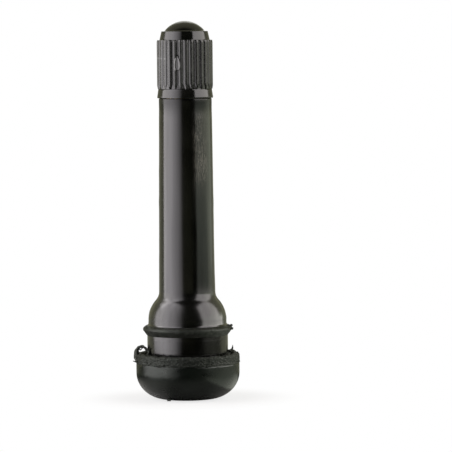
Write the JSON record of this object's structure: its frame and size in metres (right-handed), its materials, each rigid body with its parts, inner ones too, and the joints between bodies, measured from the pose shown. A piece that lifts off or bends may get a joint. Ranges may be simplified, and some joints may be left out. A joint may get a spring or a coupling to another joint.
{
  "type": "snap-in tyre valve",
  "caption": "Rubber snap-in tyre valve: rounded base, rim groove and snap ridge under a long tapered sleeve, with a sprung core in its brass stem and a ribbed screw-on dust cap.",
  "frame": {"origin": "on the valve's axis, in the flat under the base", "axes": "+Z along the stem towards the cap; X and Y are free, because the valve is round"},
  "size_m": [0.0182, 0.0182, 0.065],
  "materials": {
    "rubber": "moulded, glossy on the sleeve and satin on the base",
    "brass": "turned",
    "core_brass": "turned, bright",
    "gasket": "waxy",
    "spring_steel": "drawn wire",
    "pin_steel": "plated",
    "washer_rubber": "matt",
    "cap_plastic": "moulded, satin"
  },
  "bodies": {
    "valve": {"rubber_body": "rubber", "brass_stem": "brass", "core_plug": "core_brass", "core_barrel": "core_brass", "barrel_gasket": "gasket", "core_spring": "spring_steel"},
    "pin": {"core_pin": "pin_steel", "seat_cup": "core_brass", "seat_washer": "washer_rubber"},
    "cap_washer": {"cap_seal": "washer_rubber"},
    "dust_cap": {"cap_shell": "cap_plastic"}
  },
  "joints": [
    {"name": "pin_press", "type": "slide", "parent": "valve", "child": "pin", "axis": [0, 0, -1], "range_m": [0, 0.0012], "stiffness_N_per_m": 600, "deforming": ["core_spring"]},
    {"name": "cap_lift", "type": "slide", "parent": "valve", "child": "cap_washer", "axis": [0, 0, 1], "range_m": [0, 0.01032]},
    {"name": "cap_turn", "type": "hinge", "parent": "cap_washer", "child": "dust_cap", "pos_m": [0, 0, 0.058], "axis": [0, 0, 1], "range_deg": [0, 4680]}
  ],
  "couplings": [
    {"joint": "cap_turn", "follows": "cap_lift", "rad_per_m": 7915.8}
  ]
}
